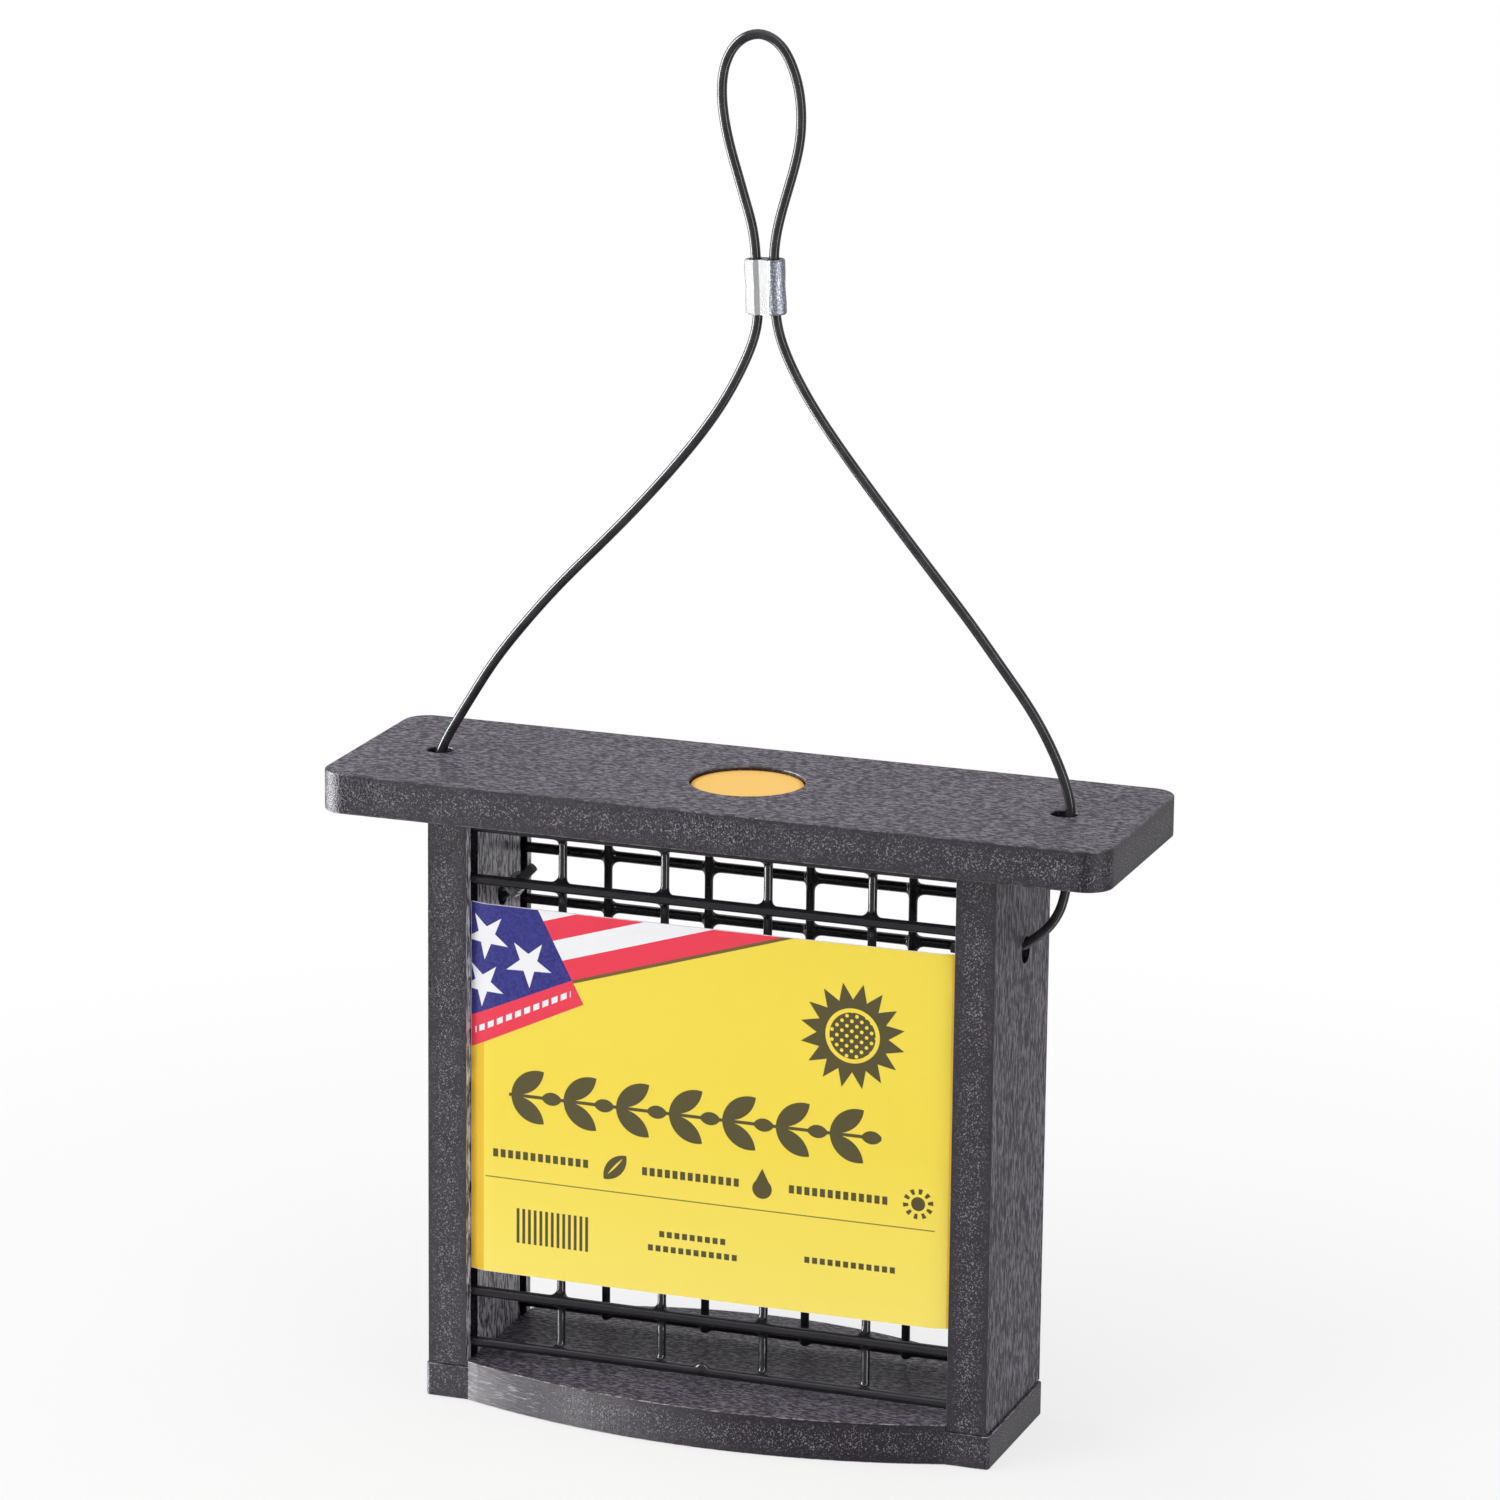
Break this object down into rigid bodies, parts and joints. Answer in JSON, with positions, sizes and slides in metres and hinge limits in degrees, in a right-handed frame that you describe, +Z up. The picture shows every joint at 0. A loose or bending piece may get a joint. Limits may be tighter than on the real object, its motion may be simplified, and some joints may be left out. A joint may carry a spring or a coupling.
{
  "type": "suet feeder",
  "caption": "Hanging bird feeder with two upright planks on a bowed base, wire panels front and back, a loose roof and a cable loop.",
  "frame": {"origin": "on the ground, under the middle of the roof and midway between the base's foremost and rearmost points", "axes": "+Z up; -Y is the front, where the card is; +X to the right of someone who faces the front, along the roof"},
  "size_m": [0.192, 0.068, 0.3285],
  "materials": {
    "plank": "charcoal recycled plastic lumber, drawn grain",
    "screw": "plain stainless steel",
    "wire": "thick glossy black plastic coating on welded steel wire",
    "card": "printed card, satin",
    "medallion": "satin plastic disc",
    "ferrule": "crimped aluminium",
    "cable": "glossy black coating on thin steel rope"
  },
  "bodies": {
    "housing": {"base_board": "plank", "side_board_left": "plank", "side_board_right": "plank", "base_screw_left_front": "screw", "base_screw_left_back": "screw", "base_screw_right_front": "screw", "base_screw_right_back": "screw", "front_mesh": "wire", "back_mesh": "wire", "label_card": "card", "stop_ferrule_left": "ferrule", "stop_ferrule_right": "ferrule", "cable_tail_left": "cable", "cable_tail_right": "cable"},
    "roof": {"roof_board": "plank", "roof_medallion": "medallion"},
    "hanger": {"loop_ferrule": "ferrule", "cable_loop": "cable", "cable_leg_left": "cable", "cable_leg_right": "cable"}
  },
  "joints": [
    {"name": "roof_lift", "type": "slide", "parent": "housing", "child": "roof", "axis": [0, 0, 1], "range_m": [0, 0.04], "deforming": ["cable_tail_left", "cable_tail_right"]},
    {"name": "hanger_drop", "type": "slide", "parent": "roof", "child": "hanger", "axis": [0, 0, 1], "range_m": [-0.058, 0], "deforming": ["cable_leg_left", "cable_leg_right"]}
  ],
  "couplings": [
    {"joint": "hanger_drop", "follows": "roof_lift", "ratio": -1.45}
  ]
}
